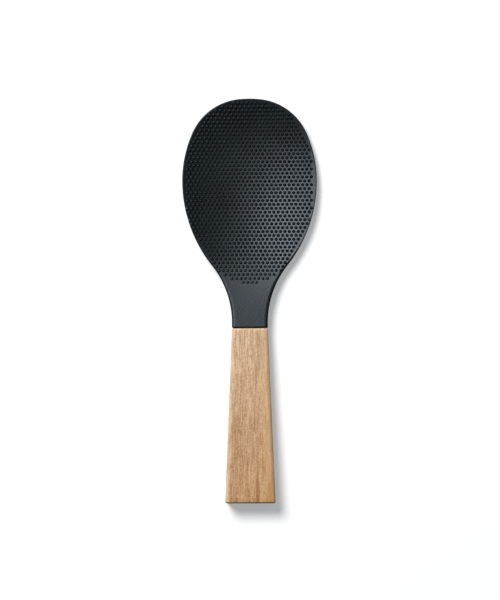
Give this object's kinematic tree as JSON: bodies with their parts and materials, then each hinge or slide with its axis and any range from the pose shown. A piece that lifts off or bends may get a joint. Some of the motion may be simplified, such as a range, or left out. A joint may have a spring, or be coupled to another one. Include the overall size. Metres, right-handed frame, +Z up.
{
  "type": "rice paddle",
  "caption": "Rice paddle: a dished dark nylon blade covered in raised dots, glued into a tapering wooden handle with a flat back.",
  "frame": {"origin": "under the middle of the overall length and width, on the plane that the paddle rests on", "axes": "+X across the blade, +Y from the handle to the tip, +Z up out of the dish"},
  "size_m": [0.075, 0.225, 0.018],
  "materials": {
    "nylon": "satin moulded nylon, near black",
    "wood": "oiled light hardwood, fine straight grain",
    "glue": "cured epoxy, amber"
  },
  "bodies": {
    "root": {"paddle_head": "nylon", "wood_handle": "wood", "glue_bond": "glue"}
  },
  "joints": []
}
